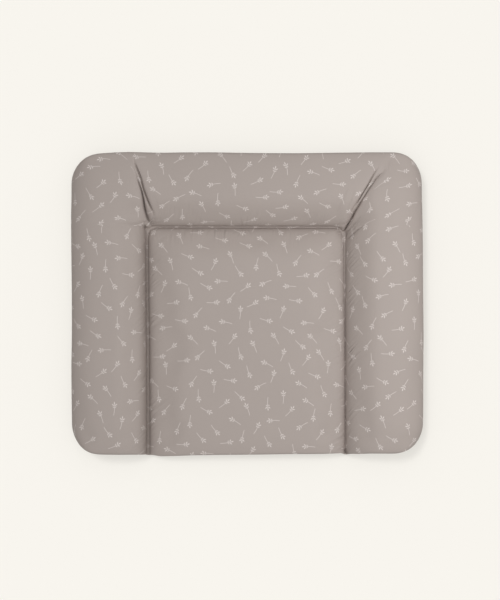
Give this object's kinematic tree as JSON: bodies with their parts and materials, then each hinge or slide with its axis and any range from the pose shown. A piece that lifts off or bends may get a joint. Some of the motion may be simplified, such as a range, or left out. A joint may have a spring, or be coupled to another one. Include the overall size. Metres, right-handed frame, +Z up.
{
  "type": "changing mat",
  "caption": "Padded wipe-clean changing mat: a flat centre pad framed on both sides and at the head by raised bolsters, welded from a printed and a plain film over foam and fleece.",
  "frame": {"origin": "on the surface that the mat lies on, under the middle of its outline", "axes": "+X to the right along the width, +Y to the head end, +Z up"},
  "size_m": [0.85, 0.73, 0.08],
  "materials": {
    "printed_film": "soft satin film, warm grey-taupe with a small scattered pale print",
    "plain_film": "soft satin film, plain warm grey-taupe",
    "fleece": "white bonded polyester fleece",
    "foam": "pale open-cell polyurethane foam"
  },
  "bodies": {
    "root": {"top_sheet": "printed_film", "base_sheet": "plain_film", "centre_pad_fleece": "fleece", "left_bolster_fleece": "fleece", "right_bolster_fleece": "fleece", "head_bolster_fleece": "fleece", "centre_pad_foam": "foam", "left_bolster_foam": "foam", "right_bolster_foam": "foam", "head_bolster_foam": "foam"}
  },
  "joints": []
}
